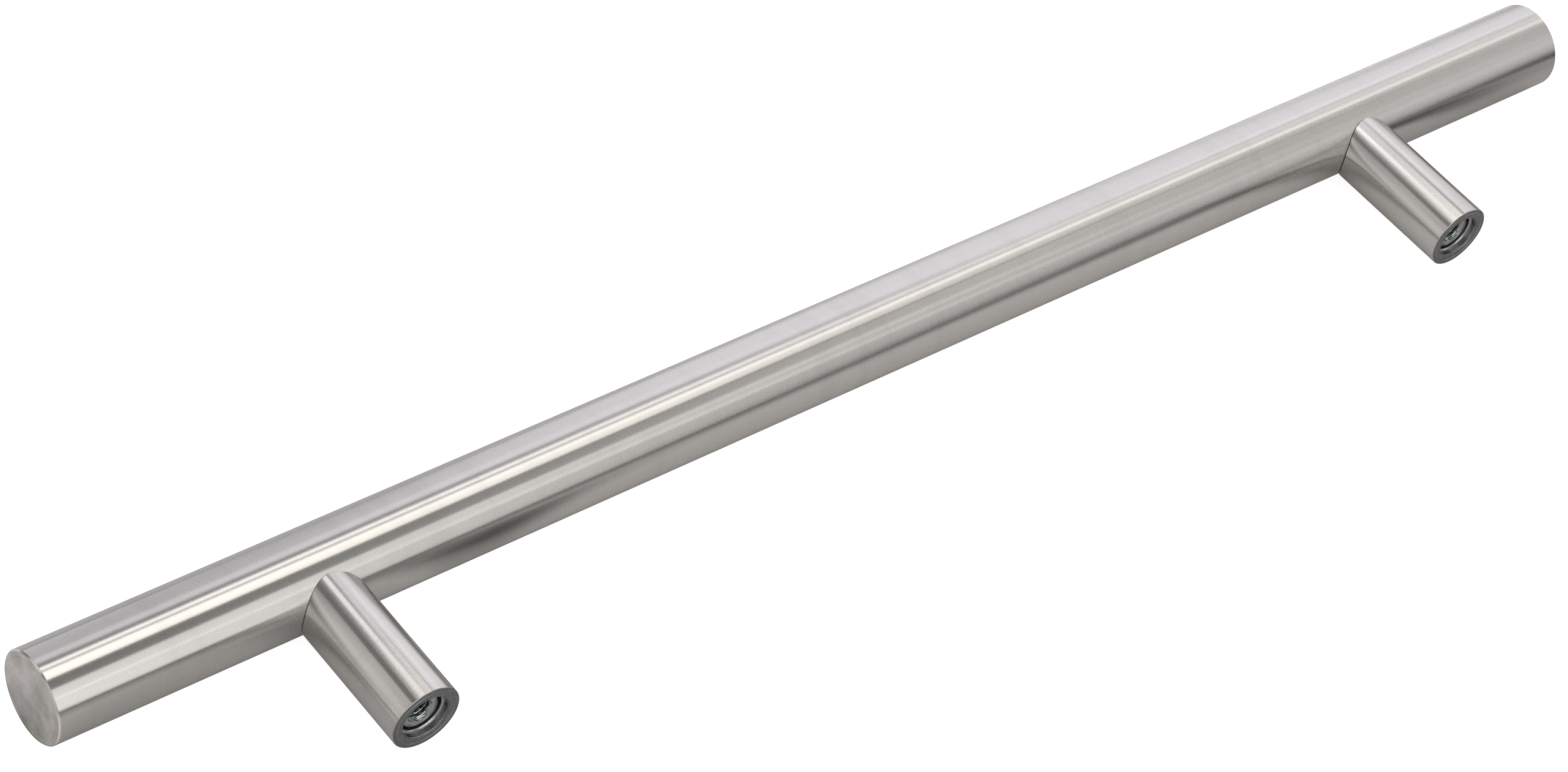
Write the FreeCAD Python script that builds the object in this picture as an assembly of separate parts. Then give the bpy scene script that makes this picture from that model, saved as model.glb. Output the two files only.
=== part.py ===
"""Bar pull handle for a door: a round tubular bar carried by two round legs.

Millimetres. +X runs along the bar and +Y points at the door, away from the hand.
The origin lies midway between the two legs on the plane of their foot faces, which is
the face of the door, and +Z is up when the handle lies on its side, as in the photograph.

The bar is a thin tube with a plug pressed flush into each end. A leg is a thin tube over
a solid core. A bolt goes up through the core into a nut slug inside the bar and clamps
the leg's hollowed end, its saddle, against the bar. The head of that bolt is long and
tapped, and the screw that comes through the door goes into it.
"""

import FreeCAD
import Part

import os

# Bar
bar_diameter = 14.0
bar_length = 288.0
bar_wall = 1.0
bar_end_chamfer = 0.25
bar_standoff = 28.8  # from the door's face to the bar's centreline

# Plugs in the bar's ends
plug_length = 5.0
plug_lead_chamfer = 0.6
plug_edge_break = 0.04

# Legs
leg_spacing = 200.0  # between the two screw holes
leg_diameter = 11.0
leg_wall = 0.8
leg_foot_chamfer = 0.1
saddle_seam = 0.1  # the leg's tube stops this far short of the bar, and its core seats on it

# Core of a leg
core_foot_chamfer = 0.1
core_mouth_diameter = 7.4
core_mouth_depth = 1.1
core_mouth_chamfer = 0.2
core_lip_chamfer = 0.16
core_seat_depth = 16.8  # from the foot face to the shoulder that the bolt's head pulls on
core_neck_clearance = 0.4  # around the bolt's thread, per side

# Bolt that clamps a leg to the bar
bolt_head_diameter = 6.0
bolt_head_clearance = 0.35  # around the head, per side
bolt_recess = 1.4  # from the foot face to the end of the head
bolt_head_chamfer = 0.15
bolt_relief_length = 1.2
bolt_relief_depth = 0.3
bolt_tip_chamfer = 0.5
bolt_engagement = 8.0  # length of thread inside the nut slug

# Threads are drawn plain: the door screw's M4 hole at its minor diameter, and the clamp
# thread at its pitch diameter, where the bolt and the nut slug meet
screw_hole_diameter = 3.24
screw_countersink_diameter = 4.1
screw_hole_depth = 11.5  # from the end of the bolt's head
clamp_thread_diameter = 3.55

# Hexagon socket at the bottom of the screw hole, for the key that tightens the bolt
hex_key_size = 2.5
hex_socket_depth = 2.4

# Nut slug inside the bar
slug_length = 18.0
slug_chamfer = 0.6
slug_hole_countersink = 0.35

# What follows from the sizes above
bar_radius = bar_diameter / 2
bar_bore_radius = bar_radius - bar_wall
leg_radius = leg_diameter / 2
leg_bore_radius = leg_radius - leg_wall
bolt_head_radius = bolt_head_diameter / 2
core_bore_radius = bolt_head_radius + bolt_head_clearance
clamp_thread_radius = clamp_thread_diameter / 2
neck_radius = clamp_thread_radius + core_neck_clearance
leg_places = {"left": -leg_spacing / 2, "right": leg_spacing / 2}

along_bar = FreeCAD.Vector(1, 0, 0)
into_door = FreeCAD.Vector(0, 1, 0)


def bar_axis(x):
    """The point of the bar's centreline at x."""
    return FreeCAD.Vector(x, -bar_standoff, 0)


def turned(outline, start, direction):
    """A turned piece: outline is a list of (distance along the axis, radius) points."""
    sideways = FreeCAD.Vector(0, 0, 1)
    points = [start + direction * along + sideways * radius for along, radius in outline]
    wire = Part.makePolygon(points + points[:1])
    return Part.Face(wire).revolve(start, direction, 360)


def rod(radius, start, direction, length):
    return Part.makeCylinder(radius, length, start, direction)


def bar_tube():
    """Tube with chamfered ends, and one hole in its door side at each leg."""
    outline = [
        (0, bar_bore_radius),
        (0, bar_radius - bar_end_chamfer),
        (bar_end_chamfer, bar_radius),
        (bar_length - bar_end_chamfer, bar_radius),
        (bar_length, bar_radius - bar_end_chamfer),
        (bar_length, bar_bore_radius),
    ]
    tube = turned(outline, bar_axis(-bar_length / 2), along_bar)
    for x in leg_places.values():
        tube = tube.cut(rod(neck_radius, bar_axis(x), into_door, bar_diameter))
    return tube


def end_plug(side):
    """Plug flush with the end of the bar, with a lead-in chamfer on its inner end."""
    outline = [
        (0, 0),
        (0, bar_bore_radius - plug_edge_break),
        (plug_edge_break, bar_bore_radius),
        (plug_length - plug_lead_chamfer, bar_bore_radius),
        (plug_length, bar_bore_radius - plug_lead_chamfer),
        (plug_length, 0),
    ]
    outwards = -1 if side == "left" else 1
    return turned(outline, bar_axis(outwards * bar_length / 2), along_bar * -outwards)


def bar_nut(x):
    """Slug inside the bar, tapped crossways for the bolt."""
    outline = [
        (0, 0),
        (0, bar_bore_radius - slug_chamfer),
        (slug_chamfer, bar_bore_radius),
        (slug_length - slug_chamfer, bar_bore_radius),
        (slug_length, bar_bore_radius - slug_chamfer),
        (slug_length, 0),
    ]
    slug = turned(outline, bar_axis(x - slug_length / 2), along_bar)
    hole_start = bar_axis(x) - into_door * bar_radius
    slug = slug.cut(rod(clamp_thread_radius, hole_start, into_door, bar_diameter))
    countersink = Part.makeCone(
        clamp_thread_radius,
        clamp_thread_radius + 2 * slug_hole_countersink,
        2 * slug_hole_countersink,
        bar_axis(x) + into_door * (bar_bore_radius - slug_hole_countersink),
        into_door,
    )
    return slug.cut(countersink)


def leg_tube(x):
    """Outer tube of a leg, hollowed at the top to fit round the bar."""
    outline = [
        (0, leg_bore_radius),
        (0, leg_radius - leg_foot_chamfer),
        (leg_foot_chamfer, leg_radius),
        (bar_standoff, leg_radius),
        (bar_standoff, leg_bore_radius),
    ]
    tube = turned(outline, FreeCAD.Vector(x, 0, 0), -into_door)
    return tube.cut(rod(bar_radius + saddle_seam, bar_axis(x - bar_radius), along_bar, bar_diameter))


def leg_core(x):
    """Core of a leg: a stepped bore from the foot, and a saddle that seats on the bar."""
    lip = core_mouth_depth + core_lip_chamfer
    outline = [
        (0, core_mouth_diameter / 2 + core_mouth_chamfer),
        (0, leg_bore_radius - core_foot_chamfer),
        (core_foot_chamfer, leg_bore_radius),
        (bar_standoff, leg_bore_radius),
        (bar_standoff, neck_radius),
        (core_seat_depth, neck_radius),
        (core_seat_depth, core_bore_radius),
        (lip, core_bore_radius),
        (core_mouth_depth, core_bore_radius + core_lip_chamfer),
        (core_mouth_depth, core_mouth_diameter / 2),
        (core_mouth_chamfer, core_mouth_diameter / 2),
    ]
    core = turned(outline, FreeCAD.Vector(x, 0, 0), -into_door)
    return core.cut(rod(bar_radius, bar_axis(x - bar_radius), along_bar, bar_diameter))


def hexagon_prism(across_flats, start, direction, length):
    corner = FreeCAD.Vector(across_flats / 3**0.5, 0, 0)
    turn = FreeCAD.Rotation(direction, 60)
    corners = [corner]
    for _ in range(6):
        corners.append(turn.multVec(corners[-1]))
    wire = Part.makePolygon([start + c for c in corners[:6]] + [start + corners[0]])
    return Part.Face(wire).extrude(direction * length)


def leg_bolt(x):
    """Bolt with a long tapped head, a relief groove under it and a thread into the bar."""
    screw_hole_radius = screw_hole_diameter / 2
    countersink = screw_countersink_diameter / 2 - screw_hole_radius
    hole_end = bolt_recess + screw_hole_depth
    relief_end = core_seat_depth + bolt_relief_length
    relief_radius = clamp_thread_radius - bolt_relief_depth
    tip = bar_standoff - bar_bore_radius + bolt_engagement
    outline = [
        (hole_end, 0),
        (hole_end, screw_hole_radius),
        (bolt_recess + countersink, screw_hole_radius),
        (bolt_recess, screw_hole_radius + countersink),
        (bolt_recess, bolt_head_radius - bolt_head_chamfer),
        (bolt_recess + bolt_head_chamfer, bolt_head_radius),
        (core_seat_depth, bolt_head_radius),
        (core_seat_depth, relief_radius),
        (relief_end, relief_radius),
        (relief_end + bolt_relief_depth, clamp_thread_radius),
        (tip - bolt_tip_chamfer, clamp_thread_radius),
        (tip, clamp_thread_radius - bolt_tip_chamfer),
        (tip, 0),
    ]
    bolt = turned(outline, FreeCAD.Vector(x, 0, 0), -into_door)
    socket_start = FreeCAD.Vector(x, -hole_end, 0)
    return bolt.cut(hexagon_prism(hex_key_size, socket_start, -into_door, hex_socket_depth))


pieces = {"bar_tube": bar_tube()}
for side, x in leg_places.items():
    pieces["end_plug_" + side] = end_plug(side)
    pieces["bar_nut_" + side] = bar_nut(x)
    pieces["leg_tube_" + side] = leg_tube(x)
    pieces["leg_core_" + side] = leg_core(x)
    pieces["leg_bolt_" + side] = leg_bolt(x)

os.makedirs("parts", exist_ok=True)
for name, shape in pieces.items():
    solids = len(shape.Solids)
    print(f"{name}: {solids} solid, {shape.Volume:.1f} mm3, valid {shape.isValid()}")
    shape.exportStep(os.path.join("parts", name + ".step"))
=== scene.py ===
import math

import bmesh
import bpy
from mathutils import Matrix, Vector


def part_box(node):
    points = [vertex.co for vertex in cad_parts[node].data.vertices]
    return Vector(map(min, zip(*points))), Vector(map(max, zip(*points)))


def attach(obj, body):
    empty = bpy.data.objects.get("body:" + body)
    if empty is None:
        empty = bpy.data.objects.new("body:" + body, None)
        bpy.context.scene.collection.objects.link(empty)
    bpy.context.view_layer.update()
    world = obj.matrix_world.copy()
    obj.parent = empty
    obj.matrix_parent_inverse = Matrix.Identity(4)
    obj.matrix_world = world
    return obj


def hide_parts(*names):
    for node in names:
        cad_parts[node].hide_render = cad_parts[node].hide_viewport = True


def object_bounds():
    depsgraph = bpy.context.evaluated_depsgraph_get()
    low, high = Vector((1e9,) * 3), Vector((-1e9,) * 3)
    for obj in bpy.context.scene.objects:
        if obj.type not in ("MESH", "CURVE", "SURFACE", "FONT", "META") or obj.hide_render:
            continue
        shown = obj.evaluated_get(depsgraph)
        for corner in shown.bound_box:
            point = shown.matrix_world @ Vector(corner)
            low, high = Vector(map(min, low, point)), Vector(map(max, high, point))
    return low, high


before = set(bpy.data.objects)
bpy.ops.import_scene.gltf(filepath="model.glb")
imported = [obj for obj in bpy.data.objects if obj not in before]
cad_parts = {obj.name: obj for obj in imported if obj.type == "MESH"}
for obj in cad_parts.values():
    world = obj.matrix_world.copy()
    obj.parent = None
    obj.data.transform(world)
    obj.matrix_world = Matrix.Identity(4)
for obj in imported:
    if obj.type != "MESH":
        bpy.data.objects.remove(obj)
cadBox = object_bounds()
mm = 0.001
alongBar = Vector((1, 0, 0))
awayFromDoor = Vector((0, -1, 0))


# Measures of the imported pieces, read from model.glb

def nodeMeasures(node):
    low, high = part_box(node)
    return {"low": low, "high": high, "middle": (low + high) / 2, "size": high - low}


barNode = nodeMeasures("bar_tube")
plugNode = nodeMeasures("end_plug_right")
legNode = nodeMeasures("leg_tube_right")
coreNode = nodeMeasures("leg_core_right")
boltNode = nodeMeasures("leg_bolt_right")

barRadius = barNode["size"].z / 2
barCentre = Vector((barNode["middle"].x, barNode["high"].y - barRadius, 0))
barLength = barNode["size"].x
plugRadius = plugNode["size"].z / 2
legRadius = legNode["size"].x / 2
coreRadius = coreNode["size"].x / 2
boltHeadRadius = boltNode["size"].x / 2
boltHeadDepth = -boltNode["high"].y
boltLength = boltNode["size"].y
barStandoff = -barCentre.y
legPlace = Vector((legNode["middle"].x, 0, 0))
legShift = nodeMeasures("leg_tube_left")["middle"] - legNode["middle"]
legPlaces = (legPlace, legPlace + legShift)


# Small modelling helpers

weldDistance = 0.0005 * mm    # points nearer than this become one
planeSlack = 0.01 * mm        # how exactly a point has to lie on a plane
straightOn = 0.9              # cosine, for a face that looks straight along a direction


def deselectAll():
    if bpy.context.object and bpy.context.object.mode != "OBJECT":
        bpy.ops.object.mode_set(mode="OBJECT")
    bpy.ops.object.select_all(action="DESELECT")


def selectOnly(piece):
    deselectAll()
    piece.select_set(True)
    bpy.context.view_layer.objects.active = piece


def startRing(name, centre, direction, radius, steps):
    deselectAll()
    turn = Vector((0, 0, 1)).rotation_difference(direction).to_euler()
    bpy.ops.mesh.primitive_circle_add(vertices=steps, radius=radius, location=centre, rotation=turn)
    piece = bpy.context.object
    piece.name = name
    piece.data.name = name
    bpy.ops.object.mode_set(mode="EDIT")
    bpy.ops.mesh.select_all(action="SELECT")
    return piece


def drawRing(centre, direction, outline):
    # each step pulls the open ring along the axis and scales it to the next radius
    for (along, radius), (nextAlong, nextRadius) in zip(outline, outline[1:]):
        bpy.ops.mesh.extrude_region_move(
            TRANSFORM_OT_translate={"value": direction * (nextAlong - along)}
        )
        scale = nextRadius / radius
        bpy.ops.transform.resize(
            value=(scale, scale, scale), center_override=centre + direction * nextAlong
        )


def settlePiece(piece):
    bpy.ops.mesh.select_all(action="SELECT")
    bpy.ops.mesh.remove_doubles(threshold=weldDistance)
    bpy.ops.mesh.normals_make_consistent(inside=False)
    bpy.ops.object.mode_set(mode="OBJECT")
    bpy.ops.object.transform_apply(location=True, rotation=True, scale=True)
    return piece


def turnedTube(name, centre, direction, outline, steps):
    # the outline is the wall's own section, and its last ring comes back to the first
    first = outline[0]
    piece = startRing(name, centre + direction * first[0], direction, first[1], steps)
    drawRing(centre, direction, outline + [first])
    return settlePiece(piece)


def turnedSolid(name, centre, direction, outline, steps):
    # the first end is a flat disc, and closeRing fills the other
    first = outline[0]
    piece = startRing(name, centre + direction * first[0], direction, first[1], steps)
    bpy.ops.mesh.edge_face_add()
    drawRing(centre, direction, outline)
    return settlePiece(piece)


def closeRing(piece):
    # fills the one ring of the piece that is still open
    selectOnly(piece)
    bpy.ops.object.mode_set(mode="EDIT")
    bpy.ops.mesh.select_all(action="DESELECT")
    bpy.ops.mesh.select_mode(type="EDGE")
    bpy.ops.mesh.select_non_manifold(
        extend=False, use_wire=False, use_boundary=True,
        use_multi_face=False, use_non_contiguous=False, use_verts=False,
    )
    bpy.ops.mesh.edge_face_add()
    bpy.ops.mesh.select_all(action="SELECT")
    bpy.ops.mesh.normals_make_consistent(inside=False)
    bpy.ops.object.mode_set(mode="OBJECT")


def applyModifier(piece, kind, **settings):
    selectOnly(piece)
    modifier = piece.modifiers.new(kind.title(), kind)
    for setting, value in settings.items():
        setattr(modifier, setting, value)
    bpy.ops.object.modifier_apply(modifier=modifier.name)


def softenEdges(piece, width, segments=3, angle=25):
    applyModifier(
        piece, "BEVEL", width=width, segments=segments, limit_method="ANGLE",
        angle_limit=math.radians(angle), use_clamp_overlap=True, harden_normals=False,
    )


def shadeSmooth(piece, angle=35):
    selectOnly(piece)
    bpy.ops.object.shade_smooth_by_angle(angle=math.radians(angle))


def copyPiece(piece, name, shift):
    twin = piece.copy()
    twin.data = piece.data.copy()
    twin.name = name
    twin.data.name = name
    twin.data.transform(Matrix.Translation(shift))
    bpy.context.collection.objects.link(twin)
    return twin


def fitSaddle(piece, saddleRadius):
    # the leg's top rings are pushed down until each point meets the round of the bar
    for vertex in piece.data.vertices:
        if vertex.co.y < barCentre.y + planeSlack:
            vertex.co.y = barCentre.y + math.sqrt(saddleRadius**2 - vertex.co.z**2)


def keepPiece(piece, node, finishes):
    piece.data.materials.clear()
    for finish in finishes:
        piece.data.materials.append(finish)
    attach(piece, "root")
    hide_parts(node)


# Materials

def linear(hexText):
    channels = [int(hexText[i:i + 2], 16) / 255 for i in (1, 3, 5)]
    toLinear = [c / 12.92 if c <= 0.04045 else ((c + 0.055) / 1.055) ** 2.4 for c in channels]
    return (*toLinear, 1.0)


def addNode(tree, kind, inputs=None, **settings):
    node = tree.nodes.new(kind)
    for setting, value in settings.items():
        setattr(node, setting, value)
    for socket, value in (inputs or {}).items():
        if isinstance(value, bpy.types.NodeSocket):
            tree.links.new(value, node.inputs[socket])
        else:
            node.inputs[socket].default_value = value
    return node


def newMaterial(name):
    material = bpy.data.materials.new(name)
    material.use_nodes = True
    material.node_tree.nodes.clear()
    return material, material.node_tree


def blendColours(tree, factor, first, second):
    mix = addNode(tree, "ShaderNodeMix", {"Factor": factor}, data_type="RGBA")
    for socket, colour in ((6, first), (7, second)):
        if isinstance(colour, bpy.types.NodeSocket):
            tree.links.new(colour, mix.inputs[socket])
        else:
            mix.inputs[socket].default_value = colour
    return mix.outputs[2]


def stretch(tree, value, source, target=(0.0, 1.0)):
    # spreads the span named source over the span named target, and holds its ends
    return addNode(tree, "ShaderNodeMapRange", {
        "Value": value, "From Min": source[0], "From Max": source[1],
        "To Min": target[0], "To Max": target[1],
    }).outputs["Result"]


def mathNode(tree, operation, *values):
    return addNode(tree, "ShaderNodeMath", dict(enumerate(values)), operation=operation).outputs[0]


def finishMetal(tree, tone, roughness, relief, reliefHeight, more=None):
    bump = addNode(tree, "ShaderNodeBump", {
        "Height": relief, "Strength": 1.0, "Distance": reliefHeight * mm,
    })
    shader = addNode(tree, "ShaderNodeBsdfPrincipled", {
        "Base Color": tone, "Metallic": 1.0, "Roughness": roughness, "Normal": bump.outputs[0],
        **(more or {}),
    })
    addNode(tree, "ShaderNodeOutputMaterial", {"Surface": shader.outputs[0]})


noiseSpan = (0.35, 0.65)      # where most of a noise texture's values lie


def grainNoise(tree, place, scales, detail=3.0, roughness=0.6):
    # scales are the grain's size along X, Y and Z in millimetres
    spread = addNode(tree, "ShaderNodeMapping", {
        "Vector": place,
        "Scale": [1 / (size * mm) for size in scales],
    })
    noise = addNode(tree, "ShaderNodeTexNoise", {
        "Vector": spread.outputs["Vector"], "Scale": 1.0, "Detail": detail, "Roughness": roughness,
    })
    return noise.outputs["Fac"]


satinSteel = {
    "tone": "#cccac7",
    "darkTone": "#c8c6c3",
    "grainWidth": 0.3,        # mm, the belt's scratches are finer, drawn coarse enough to show
    "grainLength": 3.0,       # mm that one scratch runs round the tube
    "grainSpan": (0.3, 0.7),  # the part of the noise that goes from dark to full tone
    "speckle": 0.14,          # mm, where scratches cross
    "glintSpan": (0.50, 0.70),
    "glint": 0.12,            # how far those specks go to white
    "cloud": 14.0,            # mm, slow change in how far the belt cut
    "belt": 4.0,              # mm, faint rings where the belt dwelt
    "beltLength": 56.0,       # mm that one ring runs round the tube
    "beltSpan": (0.50, 0.75),
    "beltTone": "#bdbbb8",
    "beltShare": 0.45,        # how far a ring goes to that tone
    "roughness": (0.26, 0.28),
    "anisotropy": 0.98,       # almost every scratch runs round the tube
    "grainHeight": 0.0002,    # mm
}


def makeSatinSteel(name, axis):
    # stainless steel tube finished on a polishing belt: fine scratches run round the tube,
    # so a lamp's image stays sharp across it and smears along it
    material, tree = newMaterial(name)
    place = addNode(tree, "ShaderNodeTexCoord").outputs["Object"]
    scratchSize = [satinSteel["grainLength"]] * 3
    scratchSize[axis] = satinSteel["grainWidth"]
    ringSize = [satinSteel["beltLength"]] * 3
    ringSize[axis] = satinSteel["belt"]
    scratches = grainNoise(tree, place, scratchSize, detail=4.0, roughness=0.65)
    speckle = grainNoise(tree, place, [satinSteel["speckle"]] * 3, detail=2.0)
    cloud = grainNoise(tree, place, [satinSteel["cloud"]] * 3, detail=2.0)
    rings = grainNoise(tree, place, ringSize)
    grain = mathNode(tree, "ADD", scratches, speckle)
    halfGrain = mathNode(tree, "MULTIPLY", grain, 0.5)
    roughness = stretch(tree, halfGrain, noiseSpan, satinSteel["roughness"])
    scratched = stretch(tree, scratches, satinSteel["grainSpan"])
    tone = blendColours(tree, scratched, linear(satinSteel["darkTone"]), linear(satinSteel["tone"]))
    tone = blendColours(tree, cloud, tone, linear(satinSteel["tone"]))
    ringed = stretch(tree, rings, satinSteel["beltSpan"], (0.0, satinSteel["beltShare"]))
    tone = blendColours(tree, ringed, tone, linear(satinSteel["beltTone"]))
    glint = stretch(tree, speckle, satinSteel["glintSpan"], (0.0, satinSteel["glint"]))
    tone = blendColours(tree, glint, tone, (1, 1, 1, 1))
    # the scratches run across this direction. Its small other parts keep it from ever being zero
    alongTube = addNode(tree, "ShaderNodeCombineXYZ", {"X": 0.001, "Y": 0.002, "Z": 0.003})
    alongTube.inputs[axis].default_value = 1.0
    finishMetal(tree, tone, roughness, scratches, satinSteel["grainHeight"], {
        "Anisotropic": satinSteel["anisotropy"], "Tangent": alongTube.outputs[0],
    })
    return material


endSteel = {
    "tone": "#bcb9b5",
    "darkTone": "#9d9a96",
    "cloud": 3.2,             # mm, uneven patches left by the finishing pad
    "cloudSpan": (0.38, 0.62),
    "grain": 0.14,            # mm
    "roughness": (0.30, 0.42),
    "grainHeight": 0.002,     # mm
}


def makeEndSteel(name):
    # stainless steel faced off and rubbed with a pad: no grain direction, soft uneven patches
    material, tree = newMaterial(name)
    place = addNode(tree, "ShaderNodeTexCoord").outputs["Object"]
    cloud = grainNoise(tree, place, [endSteel["cloud"]] * 3, roughness=0.55)
    grain = grainNoise(tree, place, [endSteel["grain"]] * 3, detail=2.0)
    roughness = stretch(tree, cloud, noiseSpan, endSteel["roughness"])
    patches = stretch(tree, cloud, endSteel["cloudSpan"])
    tone = blendColours(tree, patches, linear(endSteel["darkTone"]), linear(endSteel["tone"]))
    finishMetal(tree, tone, roughness, grain, endSteel["grainHeight"])
    return material


# the turned steel's own unpolished grey, darkened further as painted shade for the legs' foot faces
turnedSteelShaded = {
    "tone": "#a6a8a9",
    "darkTone": "#5e5f61",
    "pit": 0.18,              # mm, torn specks left by the parting tool
    "cloud": 1.6,             # mm
    "roughness": (0.34, 0.52),
    "pitHeight": 0.012,       # mm
}


boredSteel = {
    "tone": "#e2e0e1",
    "darkTone": "#a5a2a3",
    "pit": 0.16,              # mm
    "cloud": 1.2,             # mm
    "roughness": (0.14, 0.34),
    "pitHeight": 0.008,       # mm
}
pitSpan = (0.36, 0.66)        # the part of the noise that goes from dark to full tone


def makeTurnedSteel(name, finish):
    # plain steel turned and parted off on a lathe, unpolished and grainy, catches small glints; how
    # dark it is comes from the tones it is given
    material, tree = newMaterial(name)
    place = addNode(tree, "ShaderNodeTexCoord").outputs["Object"]
    pits = grainNoise(tree, place, [finish["pit"]] * 3, detail=4.0, roughness=0.7)
    cloud = grainNoise(tree, place, [finish["cloud"]] * 3, detail=2.0)
    smooth, rough = finish["roughness"]
    roughness = stretch(tree, pits, noiseSpan, (rough, smooth))
    specks = stretch(tree, pits, pitSpan)
    tone = blendColours(tree, specks, linear(finish["darkTone"]), linear(finish["tone"]))
    tone = blendColours(tree, cloud, tone, linear(finish["darkTone"]))
    finishMetal(tree, tone, roughness, pits, finish["pitHeight"])
    return material


zincPlate = {
    "tone": "#b4bbb9",
    "darkTone": "#88908e",
    "cloud": 0.9,             # mm, the plating's slight unevenness
    "roughness": (0.14, 0.24),
    "cloudHeight": 0.002,     # mm
}


def makeZincPlate(name):
    # bright bluish zinc plating over turned steel: smooth and mirror-like, a little uneven
    material, tree = newMaterial(name)
    place = addNode(tree, "ShaderNodeTexCoord").outputs["Object"]
    cloud = grainNoise(tree, place, [zincPlate["cloud"]] * 3, detail=2.0)
    roughness = stretch(tree, cloud, noiseSpan, zincPlate["roughness"])
    tone = blendColours(tree, cloud, linear(zincPlate["darkTone"]), linear(zincPlate["tone"]))
    finishMetal(tree, tone, roughness, cloud, zincPlate["cloudHeight"])
    return material


barSatin = makeSatinSteel("StainlessSteelBeltPolishedBar", 0)
legSatin = makeSatinSteel("StainlessSteelBeltPolishedLeg", 1)
facedSteel = makeEndSteel("StainlessSteelFacedAndRubbed")
shadedPlainSteel = makeTurnedSteel("PlainSteelTurnedPaintedShade", turnedSteelShaded)
recessSteel = makeTurnedSteel("PlainSteelBored", boredSteel)
brightZinc = makeZincPlate("SteelZincPlatedBright")


def finishEndsApart(piece, directions):
    # the faces that look straight along one of the directions take the second material
    for face in piece.data.polygons:
        if any(face.normal.dot(direction) > straightOn for direction in directions):
            face.material_index = 1


def rubRing(piece, place, innerRadius, depths, slotIndex, outerRadius=math.inf):
    # the small edges and the recess of a foot have a finish of their own
    for face in piece.data.polygons:
        fromAxis = math.hypot(face.center.x - place.x, face.center.z)
        if innerRadius < fromAxis < outerRadius and depths[0] < -face.center.y < depths[1]:
            face.material_index = slotIndex


# Bar: a tube with a bevelled rim at each end

bar = {
    "steps": 224,
    "bore": plugRadius,
    "endChamfer": 0.25 * mm,
    "edge": 0.04 * mm,
}


def makeBar():
    start = barCentre - alongBar * (barLength / 2)
    outline = [
        (0, bar["bore"]),
        (0, barRadius - bar["endChamfer"]),
        (bar["endChamfer"], barRadius),
        (barLength - bar["endChamfer"], barRadius),
        (barLength, barRadius - bar["endChamfer"]),
        (barLength, bar["bore"]),
    ]
    piece = turnedTube("BarTube", start, alongBar, outline, bar["steps"])
    softenEdges(piece, bar["edge"])
    shadeSmooth(piece)
    keepPiece(piece, "bar_tube", [barSatin, facedSteel])
    finishEndsApart(piece, [alongBar, -alongBar])


makeBar()
print("bar done")


# End plugs: pressed in flush, with a hairline where plug and tube meet

plug = {
    "steps": 160,
    "length": plugNode["size"].x,
    "fit": 0.004 * mm,        # the hairline round the plug
    "edge": 0.015 * mm,
    "leadChamfer": 0.6 * mm,
}


def makePlug(side, node, outwards):
    faceCentre = barCentre + outwards * (barLength / 2)
    radius = plugRadius - plug["fit"]
    outline = [
        (0, radius),
        (plug["length"] - plug["leadChamfer"], radius),
        (plug["length"], radius - plug["leadChamfer"]),
    ]
    piece = turnedSolid("EndPlug" + side, faceCentre, -outwards, outline, plug["steps"])
    closeRing(piece)
    softenEdges(piece, plug["edge"])
    shadeSmooth(piece)
    keepPiece(piece, node, [facedSteel])


makePlug("Right", "end_plug_right", alongBar)
makePlug("Left", "end_plug_left", -alongBar)
print("end plugs done")


# Legs: outer tube with a saddle, then the core with its stepped mouth

leg = {
    "steps": 192,
    "footChamfer": 0.1 * mm,
    "saddleSeam": 0.1 * mm,
    "edge": 0.035 * mm,
}


def makeLegTube():
    outline = [
        (0, coreRadius),
        (0, legRadius - leg["footChamfer"]),
        (leg["footChamfer"], legRadius),
        (barStandoff, legRadius),
        (barStandoff, coreRadius),
    ]
    piece = turnedTube("LegTubeRight", legPlace, awayFromDoor, outline, leg["steps"])
    fitSaddle(piece, barRadius + leg["saddleSeam"])
    softenEdges(piece, leg["edge"])
    shadeSmooth(piece)
    twin = copyPiece(piece, "LegTubeLeft", legShift)
    # the tube's foot face takes the darker turned steel as painted shade
    finishes = [legSatin, shadedPlainSteel, facedSteel]
    for tube, node, place in zip((piece, twin), ("leg_tube_right", "leg_tube_left"), legPlaces):
        keepPiece(tube, node, finishes)
        rubRing(tube, place, legRadius - leg["footChamfer"], (0, leg["footChamfer"]), 2)
        finishEndsApart(tube, [-awayFromDoor])


core = {
    "steps": 160,
    "footChamfer": 0.1 * mm,
    "mouthRadius": 3.7 * mm,
    "mouthDepth": 1.1 * mm,
    "mouthChamfer": 0.2 * mm,
    "lipChamfer": 0.16 * mm,
    "seatDepth": 16.8 * mm,
    "headClearance": 0.35 * mm,
    "neckRadius": 2.175 * mm,
    "edge": 0.05 * mm,
}


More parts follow.
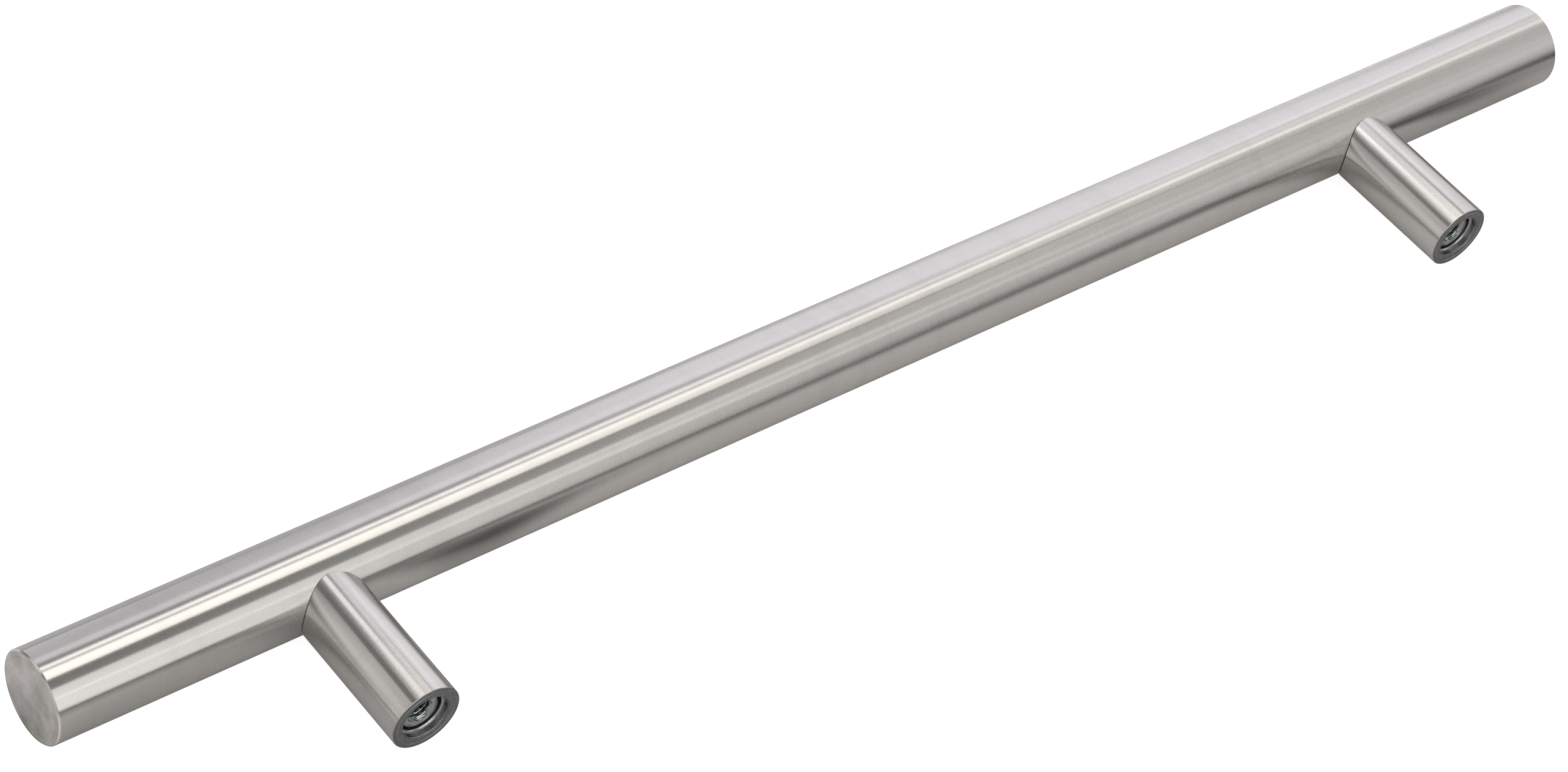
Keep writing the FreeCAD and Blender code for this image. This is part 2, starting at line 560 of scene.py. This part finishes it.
def makeLegCore():
    boreRadius = boltHeadRadius + core["headClearance"]
    outline = [
        (0, core["mouthRadius"] + core["mouthChamfer"]),
        (0, coreRadius - core["footChamfer"]),
        (core["footChamfer"], coreRadius),
        (barStandoff, coreRadius),
        (barStandoff, core["neckRadius"]),
        (core["seatDepth"], core["neckRadius"]),
        (core["seatDepth"], boreRadius),
        (core["mouthDepth"] + core["lipChamfer"], boreRadius),
        (core["mouthDepth"], boreRadius + core["lipChamfer"]),
        (core["mouthDepth"], core["mouthRadius"]),
        (core["mouthChamfer"], core["mouthRadius"]),
    ]
    piece = turnedTube("LegCoreRight", legPlace, awayFromDoor, outline, core["steps"])
    fitSaddle(piece, barRadius)
    softenEdges(piece, core["edge"])
    shadeSmooth(piece)
    twin = copyPiece(piece, "LegCoreLeft", legShift)
    recess = (core["mouthChamfer"], core["mouthDepth"] + core["lipChamfer"])
    for body, node, place in zip((piece, twin), ("leg_core_right", "leg_core_left"), legPlaces):
        # the core's foot ring shows the darker turned steel, partly its own grey and partly painted
        # shade
        keepPiece(body, node, [shadedPlainSteel, facedSteel, recessSteel])
        rubRing(body, place, coreRadius - core["footChamfer"], (0, core["footChamfer"]), 1)
        rubRing(body, place, boreRadius, recess, 2, core["mouthRadius"] + core["edge"])


makeLegTube()
makeLegCore()
print("legs done")


# Leg bolts: a long head, countersunk and tapped M4 for the screw that comes through the door

bolt = {
    "steps": 96,
    "headChamfer": 0.15 * mm,
    "countersinkRadius": 2.05 * mm,
    "holeDepth": 11.5 * mm,
    "holeRadius": 1.62 * mm,      # M4 minor radius
    "threadRadius": 2.0 * mm,     # M4 major radius
    "threadPitch": 0.7 * mm,
    "threadFlat": 0.14,           # share of the pitch that is flat at the crest, and at the root
    "rowsPerTurn": 12,
    "seatDepth": core["seatDepth"],
    "reliefLength": 1.2 * mm,
    "reliefDepth": 0.3 * mm,
    "shankRadius": 1.775 * mm,
    "tipChamfer": 0.5 * mm,
    "keySize": 2.5 * mm,
    "keyDepth": 2.4 * mm,
    "keyOverlap": 1 * mm,         # how far the cutter starts above the hole's floor
    "edge": 0.03 * mm,
}


def clamp(value):
    return min(max(value, 0), 1)


def threadRadius(turnAngle, depth):
    # an M4 internal thread: sloped flanks between a flat crest and an equally flat root
    turns = depth / bolt["threadPitch"] - turnAngle / (2 * math.pi)
    fromRoot = abs(turns - math.floor(turns) - 0.5) * 2
    rise = clamp((fromRoot - bolt["threadFlat"]) / (1 - 2 * bolt["threadFlat"]))
    return bolt["threadRadius"] + (bolt["holeRadius"] - bolt["threadRadius"]) * rise


def makeLegBolt():
    face = legPlace + awayFromDoor * boltHeadDepth
    seat = bolt["seatDepth"] - boltHeadDepth
    relief = seat + bolt["reliefLength"]
    shank = bolt["shankRadius"]
    outline = [
        (bolt["holeDepth"], bolt["holeRadius"]),
        (0, bolt["holeRadius"]),
        (0, boltHeadRadius - bolt["headChamfer"]),
        (bolt["headChamfer"], boltHeadRadius),
        (seat, boltHeadRadius),
        (seat, shank - bolt["reliefDepth"]),
        (relief, shank - bolt["reliefDepth"]),
        (relief + bolt["reliefDepth"], shank),
        (boltLength - bolt["tipChamfer"], shank),
        (boltLength, shank - bolt["tipChamfer"]),
    ]
    piece = turnedSolid("LegBoltRight", face, awayFromDoor, outline, bolt["steps"])
    closeRing(piece)
    softenEdges(piece, bolt["edge"], segments=2, angle=35)
    cutKeySocket(piece, face)
    cutThread(piece, face)
    shadeSmooth(piece, angle=40)
    twin = copyPiece(piece, "LegBoltLeft", legShift)
    keepPiece(piece, "leg_bolt_right", [brightZinc])
    keepPiece(twin, "leg_bolt_left", [brightZinc])


def cutKeySocket(piece, face):
    # a hexagon at the bottom of the screw hole, for the key that tightens the bolt
    deselectAll()
    cutterMiddle = bolt["holeDepth"] + (bolt["keyDepth"] - bolt["keyOverlap"]) / 2
    bpy.ops.mesh.primitive_cylinder_add(
        vertices=6, radius=bolt["keySize"] / math.sqrt(3),
        depth=bolt["keyDepth"] + bolt["keyOverlap"],
        location=face + awayFromDoor * cutterMiddle, rotation=(math.radians(90), 0, 0),
    )
    key = bpy.context.object
    applyModifier(piece, "BOOLEAN", object=key, operation="DIFFERENCE", solver="EXACT")
    bpy.data.objects.remove(key)


def cutThread(piece, face):
    # the hole's wall is cut into rows, and each point goes to the radius the thread has there
    selectOnly(piece)
    bpy.ops.object.mode_set(mode="EDIT")
    bpy.ops.mesh.select_mode(type="EDGE")
    bpy.ops.mesh.select_all(action="DESELECT")
    wallSlack = 0.02 * mm
    fullLength = bolt["holeDepth"] * 0.8
    shape = bmesh.from_edit_mesh(piece.data)
    for edge in shape.edges:
        first, second = (v.co for v in edge.verts)
        fromAxis = [math.hypot(p.x - face.x, p.z) for p in (first, second)]
        onWall = all(abs(r - bolt["holeRadius"]) < wallSlack for r in fromAxis)
        edge.select = onWall and abs(first.y - second.y) > fullLength
    bmesh.update_edit_mesh(piece.data)
    rows = round(bolt["holeDepth"] / bolt["threadPitch"] * bolt["rowsPerTurn"])
    bpy.ops.mesh.subdivide_edgering(number_cuts=rows, interpolation="LINEAR")
    bpy.ops.object.mode_set(mode="OBJECT")
    rimSlack = bolt["edge"] * 1.2                              # takes in the rounded mouth
    rimDepth = bolt["edge"] * 0.5
    deepest = bolt["holeDepth"] - 0.05 * mm                    # leaves the hole's floor alone
    threadEnd = bolt["holeDepth"] - 2 * bolt["threadPitch"]    # it runs out over the turn before
    for vertex in piece.data.vertices:
        offset = vertex.co - face
        radius = math.hypot(offset.x, offset.z)
        depth = -offset.y
        if abs(radius - bolt["holeRadius"]) > rimSlack or depth > deepest:
            continue
        fade = clamp((threadEnd - depth) / bolt["threadPitch"])
        wanted = threadRadius(math.atan2(offset.z, offset.x), depth)
        wanted = bolt["holeRadius"] + (wanted - bolt["holeRadius"]) * fade
        wanted = max(wanted, bolt["countersinkRadius"] - max(depth, 0))
        if depth < rimDepth:
            wanted = bolt["countersinkRadius"] + radius - bolt["holeRadius"]
        vertex.co.x = face.x + offset.x / radius * wanted
        vertex.co.z = offset.z / radius * wanted


makeLegBolt()
print("leg bolts done")


# Bar nuts: sealed inside the bar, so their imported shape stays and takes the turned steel

for side in ("left", "right"):
    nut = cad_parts["bar_nut_" + side]
    nut.data.materials.clear()
    nut.data.materials.append(shadedPlainSteel)
print("bar nuts done")


# Floor, lamps and camera

floor = {
    "height": cadBox[0].z,
    "size": 8.0,
    "tone": "#d3d2d2",
    "seenWhite": 0.85,        # added for the camera, so that the open floor is white
    "seenInSteel": 0.06,      # added for what the steel and the zinc reflect
    "frontEdge": 0.024,       # metres from the feet, where the paper ends and a darker table begins
    "frontFade": 0.022,
    "sideEdge": 0.180,        # metres to the left and right
    "sideFade": 0.010,
    "table": "#a6a5a4",       # to the right, and darker to the left
    "tableLeft": "#201f1f",
    "leftSpan": (0.06, -0.12),    # metres along X, over which right goes to left
    "behindBar": "#d2d2d3",   # painted light: what the steel sees of the paper on the hand's side, to the right, and lighter to the left
    "behindBarLeft": "#f3f2f5",
    "shadeUnderBar": "#bcbcbc",    # painted shade right under the bar
    "underShare": 0.7,        # share of the bar's radius where that tone is full
    # painted shade: the paper darker towards the ends, as the steel sees it
    "shadeTowardsEnds": "#b8b7b7",
    "endSpan": (0.085, 0.140),    # metres from the middle, over which the ends' tone comes in
    "pastEnd": "#fbfafc",     # painted light beyond the near end, as the end face sees it
    "pastEndFade": 0.001,
}

# what is taken to be the shadow of each leg on the paper: the picture's white background hides it,
# but the bar still mirrors a dark smudge there. It says where the shadow lies from the leg's foot,
# the way it points in degrees, and half its length and width in metres
legShadows = {
    "near": {
        "foot": legPlaces[0], "fromFoot": Vector((-0.042, 0.014, 0)),
        "turn": 119, "half": (0.044, 0.018),
    },
    "far": {
        "foot": legPlaces[1], "fromFoot": Vector((-0.050, 0.010, 0)),
        "turn": 133, "half": (0.036, 0.0125),
    },
}
shadowTone = "#0c0b0a"
shadowSoftFrom = 0.6          # share of its size where a shadow starts to fade


def pastEdge(tree, distance, edge, fade):
    return stretch(tree, distance, (edge, edge + fade))


def paintShadow(tree, place, tone, shadow):
    laid = addNode(tree, "ShaderNodeMapping", {
        "Vector": place, "Location": shadow["foot"] + shadow["fromFoot"],
        "Rotation": (0, 0, math.radians(shadow["turn"])), "Scale": (*shadow["half"], 1),
    }, vector_type="TEXTURE")
    outwards = addNode(tree, "ShaderNodeVectorMath", {0: laid.outputs["Vector"]}, operation="LENGTH")
    dark = stretch(tree, outwards.outputs["Value"], (1.0, shadowSoftFrom))
    return blendColours(tree, dark, tone, linear(shadowTone))


def makeFloor():
    deselectAll()
    bpy.ops.mesh.primitive_plane_add(size=floor["size"], location=(0, 0, floor["height"]))
    piece = bpy.context.object
    piece.name = "Floor"
    bpy.ops.object.transform_apply(location=True, rotation=True, scale=True)
    material, tree = newMaterial("PalePaperFloor")
    rays = addNode(tree, "ShaderNodeLightPath").outputs
    seen = mathNode(tree, "MULTIPLY", rays["Is Camera Ray"], floor["seenWhite"])
    mirrored = mathNode(tree, "MAXIMUM", rays["Is Glossy Ray"], rays["Is Transmission Ray"])
    strength = mathNode(tree, "MULTIPLY_ADD", mirrored, floor["seenInSteel"], seen)
    place = addNode(tree, "ShaderNodeTexCoord").outputs["Object"]
    across = addNode(tree, "ShaderNodeSeparateXYZ", {0: place}).outputs
    sideways = mathNode(tree, "ABSOLUTE", across["X"])
    pastFront = pastEdge(tree, across["Y"], floor["frontEdge"], floor["frontFade"])
    pastSide = pastEdge(tree, sideways, floor["sideEdge"], floor["sideFade"])
    onTable = mathNode(tree, "MAXIMUM", pastFront, pastSide)
    toLeft = stretch(tree, across["X"], floor["leftSpan"])
    behind = stretch(tree, across["Y"], (-barStandoff, -barStandoff - floor["sideFade"]))
    fromBar = mathNode(tree, "ABSOLUTE", mathNode(tree, "ADD", across["Y"], barStandoff))
    under = stretch(tree, fromBar, (barRadius, barRadius * floor["underShare"]))
    nearEnds = stretch(tree, sideways, floor["endSpan"])
    pastEnd = pastEdge(tree, across["X"], barLength / 2, floor["pastEndFade"])
    # what the steel mirrors, and then what the camera sees
    table = blendColours(tree, toLeft, linear(floor["table"]), linear(floor["tableLeft"]))
    # painted shade: the paper darker towards the ends
    paperTone = blendColours(tree, nearEnds, linear(floor["tone"]), linear(floor["shadeTowardsEnds"]))
    # painted light: the paper behind the bar lighter to the left
    behindTone = blendColours(tree, toLeft, linear(floor["behindBar"]), linear(floor["behindBarLeft"]))
    paperTone = blendColours(tree, behind, paperTone, behindTone)
    # painted shade on the paper right under the bar
    paperTone = blendColours(tree, under, paperTone, linear(floor["shadeUnderBar"]))
    # painted light on the paper beyond the near end
    paperTone = blendColours(tree, pastEnd, paperTone, linear(floor["pastEnd"]))
    mirrorTone = blendColours(tree, onTable, paperTone, table)
    for shadow in legShadows.values():
        mirrorTone = paintShadow(tree, place, mirrorTone, shadow)
    tone = blendColours(tree, rays["Is Camera Ray"], mirrorTone, linear(floor["tone"]))
    paper = addNode(tree, "ShaderNodeBsdfDiffuse", {"Color": tone})
    glow = addNode(tree, "ShaderNodeEmission", {"Color": (1, 1, 1, 1), "Strength": strength})
    both = addNode(tree, "ShaderNodeAddShader", {0: paper.outputs[0], 1: glow.outputs[0]})
    addNode(tree, "ShaderNodeOutputMaterial", {"Surface": both.outputs[0]})
    piece.data.materials.append(material)


# a light tent: each lamp is a piece of its walls or ceiling. It says the side it hangs on, how far
# off, where it starts and ends along the two other axes in metres, its brightness, where 1 is
# white, and its tone
tentSides = {
    "ceiling": Vector((0, 0, 1)),
    "handSide": Vector((0, -1, 0)),
    "doorSide": Vector((0, 1, 0)),
    "left": Vector((-1, 0, 0)),
    "right": Vector((1, 0, 0)),
}
tentLamps = {
    "Overhead": {
        "side": "ceiling", "away": 0.723, "first": (-0.350, 0.330), "second": (-0.126, 0.130),
        "level": 2.0, "tone": "#fffbf4",
    },
    "OverheadStrip": {
        "side": "ceiling", "away": 0.780, "first": (-0.400, 0.230), "second": (-0.306, -0.190),
        "level": 2.1, "tone": "#fdfaf8",
    },
    "OverheadEdge": {
        "side": "ceiling", "away": 0.723, "first": (-1.150, -0.420), "second": (-0.126, -0.092),
        "level": 1.3, "tone": "#fdfbf6",
    },
    "OverheadLeft": {
        "side": "ceiling", "away": 0.300, "first": (-0.282, -0.192), "second": (0.047, 0.251),
        "level": 1.29, "tone": "#fdfaf5",
    },
    "OverheadBack": {
        "side": "ceiling", "away": 0.780, "first": (-0.110, 0.120), "second": (-0.800, -0.520),
        "level": 0.8, "tone": "#fffaf1",
    },
    "OverheadFar": {
        "side": "ceiling", "away": 0.895, "first": (-0.783, -0.492), "second": (-0.222, 0.648),
        "level": 0.56, "tone": "#fdfbf8",
    },
    "HandNear": {
        "side": "handSide", "away": 0.301, "first": (-0.580, -0.045), "second": (-0.007, 0.470),
        "level": 1.06, "tone": "#f8f6ff",
    },
    "HandFar": {
        "side": "handSide", "away": 0.702, "first": (-0.127, 0.090), "second": (0.033, 1.198),
        "level": 1.10, "tone": "#f8f6ff",
    },
    "LeftHigh": {
        "side": "left", "away": 0.960, "first": (-0.710, -0.113), "second": (0.639, 1.450),
        "level": 1.0, "tone": "#f9f8fd",
    },
    "LeftLow": {
        "side": "left", "away": 0.878, "first": (-0.500, 1.000), "second": (0.055, 0.604),
        "level": 0.83, "tone": "#fbf9fa",
    },
    "DoorNear": {
        "side": "doorSide", "away": 0.545, "first": (-0.139, 0.498), "second": (0.055, 0.398),
        "level": 1.41, "tone": "#fdfbf8",
    },
    "DoorHigh": {
        "side": "doorSide", "away": 0.448, "first": (-0.332, 0.623), "second": (0.313, 0.676),
        "level": 1.07, "tone": "#fdfbf8",
    },
    "RightHigh": {
        "side": "right", "away": 0.509, "first": (-0.472, -0.136), "second": (0.070, 0.620),
        "level": 0.91, "tone": "#fdfbf8",
    },
    "RightFront": {
        "side": "right", "away": 0.620, "first": (-0.050, 0.550), "second": (0.000, 0.360),
        "level": 0.70, "tone": "#fdfbf8",
    },
    "RightLow": {
        "side": "right", "away": 0.500, "first": (-0.450, -0.020), "second": (-0.006, 0.070),
        "level": 0.72, "tone": "#fdfbf8",
    },
}


def makeTentLamp(name, box):
    side = tentSides[box["side"]]
    lamp = bpy.data.lights.new(name, "AREA")
    lamp.shape = "RECTANGLE"
    lamp.size = box["first"][1] - box["first"][0]
    lamp.size_y = box["second"][1] - box["second"][0]
    lamp.color = linear(box["tone"])[:3]
    lamp.energy = box["level"] * math.pi * lamp.size * lamp.size_y
    holder = bpy.data.objects.new(name, lamp)
    bpy.context.collection.objects.link(holder)
    place = side * box["away"]
    acrossAxes = [axis for axis in range(3) if side[axis] == 0]
    for axis, ends in zip(acrossAxes, (box["first"], box["second"])):
        place[axis] = sum(ends) / 2
    holder.location = place
    holder.rotation_euler = side.to_track_quat("Z", "Y").to_euler()


room = {"tone": "#fdfcfb", "level": 0.2}


def makeWorld():
    world = bpy.data.worlds.new("Studio")
    bpy.context.scene.world = world
    world.use_nodes = True
    tree = world.node_tree
    tree.nodes.clear()
    seen = addNode(tree, "ShaderNodeLightPath").outputs["Is Camera Ray"]
    white = addNode(tree, "ShaderNodeBackground", {"Color": (1, 1, 1, 1), "Strength": 1.0})
    grey = addNode(tree, "ShaderNodeBackground", {
        "Color": linear(room["tone"]), "Strength": room["level"],
    })
    both = addNode(tree, "ShaderNodeMixShader", {0: seen, 1: grey.outputs[0], 2: white.outputs[0]})
    addNode(tree, "ShaderNodeOutputWorld", {"Surface": both.outputs[0]})


viewpoint = {
    "place": Vector((0.36799, 0.28782, 0.46228)),
    "right": Vector((-0.77526, 0.60664, 0.17596)),
    "up": Vector((-0.34146, -0.63688, 0.69123)),
    "lens": 102.85,           # mm
    "sensorWidth": 36,        # mm
    "clip": (0.01, 20),       # metres
}


def makeCamera():
    camera = bpy.data.objects.new("Camera", bpy.data.cameras.new("Camera"))
    bpy.context.collection.objects.link(camera)
    right = viewpoint["right"].normalized()
    back = right.cross(viewpoint["up"]).normalized()
    up = back.cross(right)
    turn = Matrix((right, up, back)).transposed().to_4x4()
    camera.matrix_world = Matrix.Translation(viewpoint["place"]) @ turn
    camera.data.sensor_width = viewpoint["sensorWidth"]
    camera.data.lens = viewpoint["lens"]
    camera.data.clip_start, camera.data.clip_end = viewpoint["clip"]
    bpy.context.scene.camera = camera


makeFloor()
for name, box in tentLamps.items():
    makeTentLamp(name, box)
makeWorld()
makeCamera()
bpy.context.scene.view_settings.view_transform = "Standard"
print("floor, lamps and camera done")
